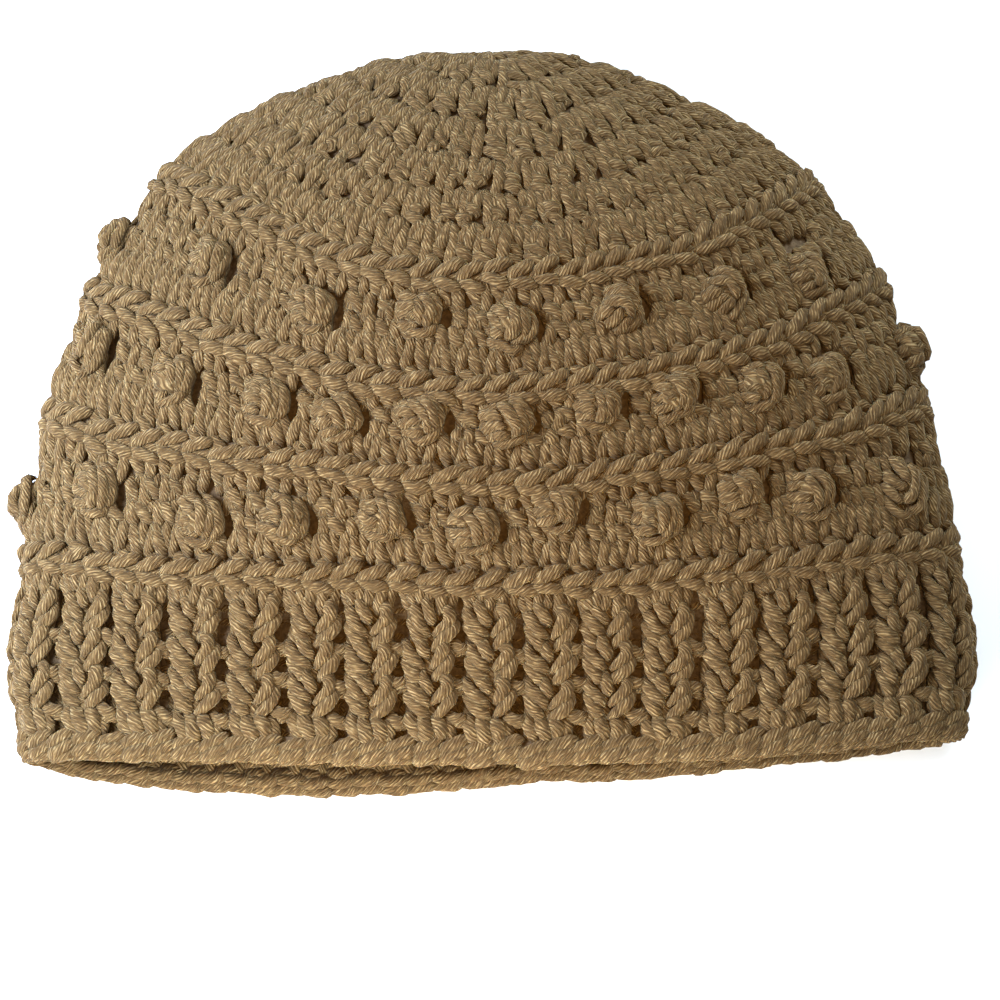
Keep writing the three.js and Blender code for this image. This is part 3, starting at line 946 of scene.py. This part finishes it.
def lay_body(thing, place):
    """Puts the points in their place and turns every face outwards."""
    place = rest_on_floor(place) * mm
    thing.data.vertices.foreach_set("co", place.astype(np.float32).ravel())
    deselect_all()
    thing.select_set(True)
    bpy.context.view_layer.objects.active = thing
    bpy.ops.object.mode_set(mode="EDIT")
    turn_faces_outwards()
    bpy.ops.object.shade_smooth()
    return thing


def body_of_ring(name, start, end, outer, inner=-wall, ripple=0.0, pockets=()):
    deselect_all()
    bpy.ops.mesh.primitive_torus_add(
        major_segments=280, minor_segments=16, major_radius=1, minor_radius=ring_tube
    )
    thing, co, turn = new_body(name)
    square_out = squared((np.hypot(co[:, 0], co[:, 1]) - 1) / ring_tube)
    square_rise = squared(co[:, 2] / ring_tube)
    down = (start + end) / 2 - square_rise * (end - start) / 2
    wave = ripple * (0.5 + 0.5 * np.cos(2 * np.pi * ribs * (turn - front_turn)))
    lift = (outer + inner) / 2 + square_out * (outer - inner) / 2
    lift = lift + np.where(square_out > 0, wave, 0)
    for pocket_turn, pocket_down, _, _ in pockets:
        aside = ((turn - pocket_turn + 0.5) % 1.0 - 0.5) * length_round[int(pocket_down)]
        near = np.exp(-(aside / pocket_half) ** 4 - ((down - pocket_down) / pocket_tall) ** 4)
        lift = np.where(square_out > 0, lift - near * (lift - inner) * pocket_depth, lift)
    place, _ = lifted(turn, down, lift)
    return lay_body(thing, place)


print("mouth of the brim:", round(float(length_round[rim_down])), "mm round")

# %% [markdown]
# The crown's body starts as a ball, whose upper half becomes the outer side and whose lower half
# the inner side. On the inner side the middle is left a little open, and its pole closes it.

# %% All bodies
hollow_middle = 6.0
at_pole = 1e-6


def body_of_crown(name, end, outer, inner=-wall):
    deselect_all()
    bpy.ops.mesh.primitive_uv_sphere_add(segments=200, ring_count=60, radius=1)
    thing, co, turn = new_body(name)
    polar = np.arccos(np.clip(co[:, 2], -1, 1)) / np.pi
    is_outer = polar <= 0.5
    down = np.where(is_outer, polar * 2 * end, (1 - polar) * 2 * end)
    down = np.where(is_outer, down, np.maximum(down, hollow_middle * (1 - down / end)))
    lift = np.where(is_outer, outer, inner)
    at_end = np.abs(polar - 0.5) < at_pole
    lift = np.where(at_end, (outer + inner) / 2, lift)
    place, _ = lifted(turn, down, lift)
    pole = np.abs(co[:, 2] + 1) < at_pole
    if pole.any():
        near = (~is_outer) & (polar > 0.96) & ~pole
        place[pole] = place[near].mean(axis=0)
    return lay_body(thing, place)


bodies = {"crown_rounds": body_of_crown("crown_body", 76.6, -1.9)}
ridge_ends = [(76.4, 83.6), (103.8, 110.4), (125.9, 132.3), (150.9, 157.3)]
band_ends = [(83.4, 104.0), (110.2, 126.2), (132.1, 151.2)]
for k, (start, end) in enumerate(ridge_ends, 1):
    bodies[f"ridge_round_{k}"] = body_of_ring(f"ridge_{k}_body", start, end, -0.9)
    if k <= len(band_ends):
        start, end = band_ends[k - 1]
        pockets = pockets_of(bobble_bands[f"bobble_band_{k}"])
        bodies[f"bobble_band_{k}"] = body_of_ring(
            f"band_{k}_body", start, end, -2.0, pockets=pockets)
bodies["ribbed_brim"] = body_of_ring("brim_body", 157.1, 193.0, -3.3, ripple=1.8)
bodies["edge_round"] = body_of_ring("edge_body", 192.4, 196.2, -1.0, -wall + 0.4)
print("bodies:", len(bodies))

# %% [markdown]
# The yarn is a soft acrylic in a heathered taupe. What gives it its look are its plies, twisted
# together: a painted highlight on top of each ply and painted shade between them. The UV map
# turns that into one wave that winds round the strand. It takes many small sums, so a few
# helpers make the nodes.

# %% Helpers for the material
def link(tree, source, target):
    tree.links.new(source, target)


def math_node(tree, operation, *values):
    node = tree.nodes.new("ShaderNodeMath")
    node.operation = operation
    for socket, value in zip(node.inputs, values):
        if isinstance(value, (int, float)):
            socket.default_value = value
        else:
            link(tree, value, socket)
    return node.outputs[0]


def times(tree, first, second):
    return math_node(tree, "MULTIPLY", first, second)


def add_noise(tree, scale, detail, where):
    noise = tree.nodes.new("ShaderNodeTexNoise")
    set_sockets(noise, {"Scale": scale, "Detail": detail})
    link(tree, where, noise.inputs["Vector"])
    return noise.outputs[0]


def noise_at(tree, scale, detail, *where):
    """A noise read at a spot that is worked out, such as how far along the yarn it is."""
    spot = tree.nodes.new("ShaderNodeCombineXYZ")
    for socket, value in zip(spot.inputs, where):
        link(tree, value, socket)
    return add_noise(tree, scale, detail, spot.outputs[0])


def colour_ramp(tree, source, stops):
    """Colours at their places along a value, as pairs of a place and a colour."""
    ramp = tree.nodes.new("ShaderNodeValToRGB")
    elements = ramp.color_ramp.elements
    for element, (place, colour) in zip(elements, (stops[0], stops[-1])):
        element.position = place
        element.color = (*colour, 1)
    for place, colour in stops[1:-1]:
        elements.new(place).color = (*colour, 1)
    link(tree, source, ramp.inputs[0])
    return ramp.outputs[0]


def add_bump(tree, shader, height, distance):
    bump = tree.nodes.new("ShaderNodeBump")
    bump.inputs["Distance"].default_value = distance
    link(tree, height, bump.inputs["Height"])
    link(tree, bump.outputs[0], shader.inputs["Normal"])


# %% [markdown]
# A yarn of ten plies makes one turn in twelve millimetres. Each ply is lighter in some places
# than in others, and fine fibres run along it. Both lift the tone from the brown of the grooves,
# which is painted shade, to the tan of the crests, which is a painted highlight. Plies and
# fibres raise the bump, and a little light sinks in and spreads, as in all soft yarn.

# %% Yarn material
ply_sharpness = 3.0
far_apart = 7.31


def yarn_material(name, groove_shade, middle, crest_highlight, ply_count=10, lay=12.0):
    material, tree, shader = new_material(name)
    uv = tree.nodes.new("ShaderNodeUVMap")
    uv.uv_map = "UVMap"
    split = tree.nodes.new("ShaderNodeSeparateXYZ")
    link(tree, uv.outputs[0], split.inputs[0])
    along_yarn = split.outputs[0]
    round_yarn = split.outputs[1]
    sway = noise_at(tree, 1.0, 1.0, times(tree, along_yarn, 0.33))
    winding = math_node(tree, "ADD", times(tree, along_yarn, 1 / lay), round_yarn)
    winding = math_node(tree, "ADD", winding, times(tree, sway, 0.2))
    turns_of_ply = times(tree, winding, ply_count)
    # The ply wave paints a highlight on the crest of each ply and shade in the grooves between
    # plies; the same wave also raises the bump.
    wave = math_node(tree, "SINE", times(tree, turns_of_ply, math.pi))
    ply_relief_and_highlight = math_node(tree, "POWER", math_node(tree, "ABSOLUTE", wave), ply_sharpness)
    own_spot = times(tree, math_node(tree, "FLOOR", turns_of_ply), far_apart)
    ply_tone = noise_at(tree, 1.0, 1.0, own_spot, times(tree, along_yarn, 0.62))
    fibre = noise_at(tree, 2.2, 3.0, times(tree, turns_of_ply, 1.5), times(tree, along_yarn, 0.22))
    fibre_tone = times(tree, fibre, 1.8)
    tone_with_ply_light = ply_tone
    for step in (("SUBTRACT", 0.38), ("MULTIPLY", 4.0), ("MAXIMUM", 0.12), ("MINIMUM", 1.2),
                 ("MULTIPLY", ply_relief_and_highlight), ("MULTIPLY", 0.56), ("ADD", fibre_tone), ("SUBTRACT", 0.61)):
        tone_with_ply_light = math_node(tree, step[0], tone_with_ply_light, step[1])
    colour = colour_ramp(tree, tone_with_ply_light, [(0.05, groove_shade), (0.45, middle), (1.0, crest_highlight)])
    link(tree, colour, shader.inputs["Base Color"])
    add_bump(tree, shader, math_node(tree, "ADD", times(tree, fibre, 0.6), ply_relief_and_highlight), 0.22 * mm)
    set_sockets(shader, {
        "Roughness": 0.75, "Specular IOR Level": 0.03, "Sheen Weight": 0.03,
        "Sheen Roughness": 0.60, "Sheen Tint": (1.0, 0.90, 0.74, 1), "Subsurface Weight": 0.40,
        "Subsurface Radius": (1.0, 0.7, 0.45), "Subsurface Scale": 0.0016})
    return material


# The groove brown is painted shade between the plies and the crest tan a painted highlight on
# them; the middle taupe is the yarn's own colour.
groove_shade_brown = (0.052, 0.0285, 0.0108)
middle_taupe = (0.105, 0.0605, 0.0217)
crest_highlight_tan = (0.290, 0.196, 0.088)
yarn = yarn_material("taupe_yarn", groove_shade_brown, middle_taupe, crest_highlight_tan)
print("yarn colours:", groove_shade_brown, middle_taupe, crest_highlight_tan)

# %% [markdown]
# The body of the fabric shows only deep in the holes. It has the yarn's browns in a fine noise,
# its darker brown painted shade for the holes, and a rough, dull surface.

# %% Cloth of the body
# The darker brown is painted shade for the deep holes, where the body shows.
deep_shade_brown = (0.068, 0.044, 0.024)
soft_brown = (0.128, 0.085, 0.047)
body_cloth_and_shade, body_tree, body_shader = new_material("deep_yarn_shade")
body_place = body_tree.nodes.new("ShaderNodeTexCoord")
body_noise = add_noise(body_tree, 900, 3, body_place.outputs["Object"])
body_colour = colour_ramp(body_tree, body_noise, [(0.35, deep_shade_brown), (0.70, soft_brown)])
link(body_tree, body_colour, body_shader.inputs["Base Color"])
add_bump(body_tree, body_shader, body_noise, 0.6 * mm)
set_sockets(body_shader, {"Roughness": 0.95, "Specular IOR Level": 0.03})
print("materials:", yarn.name, "and", body_cloth_and_shade.name)

# %% [markdown]
# Now every basket of paths becomes one mesh, takes the yarn and stands for its ring of the CAD
# model, together with the body of the fabric under it.

# %% Put the hat together
baskets = {"crown_rounds": crown, **ridges, **bands, "ribbed_brim": brim, "edge_round": edge}
lining_piece = yarn_mesh("brim_lining_yarn", brim_lining)
lining_piece.data.materials.append(yarn)
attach(lining_piece, "root")
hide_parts("ribbed_brim")
for node, basket in baskets.items():
    stitches_piece = yarn_mesh(node + "_yarn", basket)
    stitches_piece.data.materials.append(yarn)
    bodies[node].data.materials.append(body_cloth_and_shade)
    for piece in (stitches_piece, bodies[node]):
        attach(piece, "root")
        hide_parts(node)
